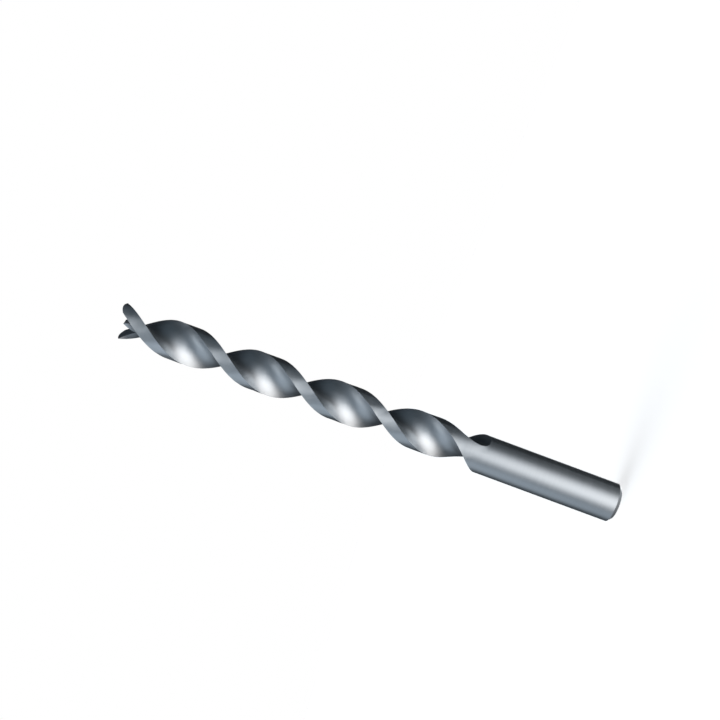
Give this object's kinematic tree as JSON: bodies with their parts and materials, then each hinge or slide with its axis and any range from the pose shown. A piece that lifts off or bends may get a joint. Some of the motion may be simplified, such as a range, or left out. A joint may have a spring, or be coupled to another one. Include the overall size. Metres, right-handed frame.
{
  "type": "drill bit",
  "caption": "Straight-shank steel wood drill bit with helical flutes, a V-ground end with a centre point and outer prongs, and a chamfered shank end.",
  "frame": {"origin": "centre of the flat shank end", "axes": "+Z along the bit's axis from the shank end to the cutting end; +X through the middle of one prong at the cutting end; +Y completes the right-handed frame"},
  "size_m": [0.01, 0.01, 0.1321],
  "materials": {
    "steel": "ground and polished bare tool steel, satin to bright, slightly blue-grey"
  },
  "bodies": {
    "root": {"drill_bit": "steel"}
  },
  "joints": []
}
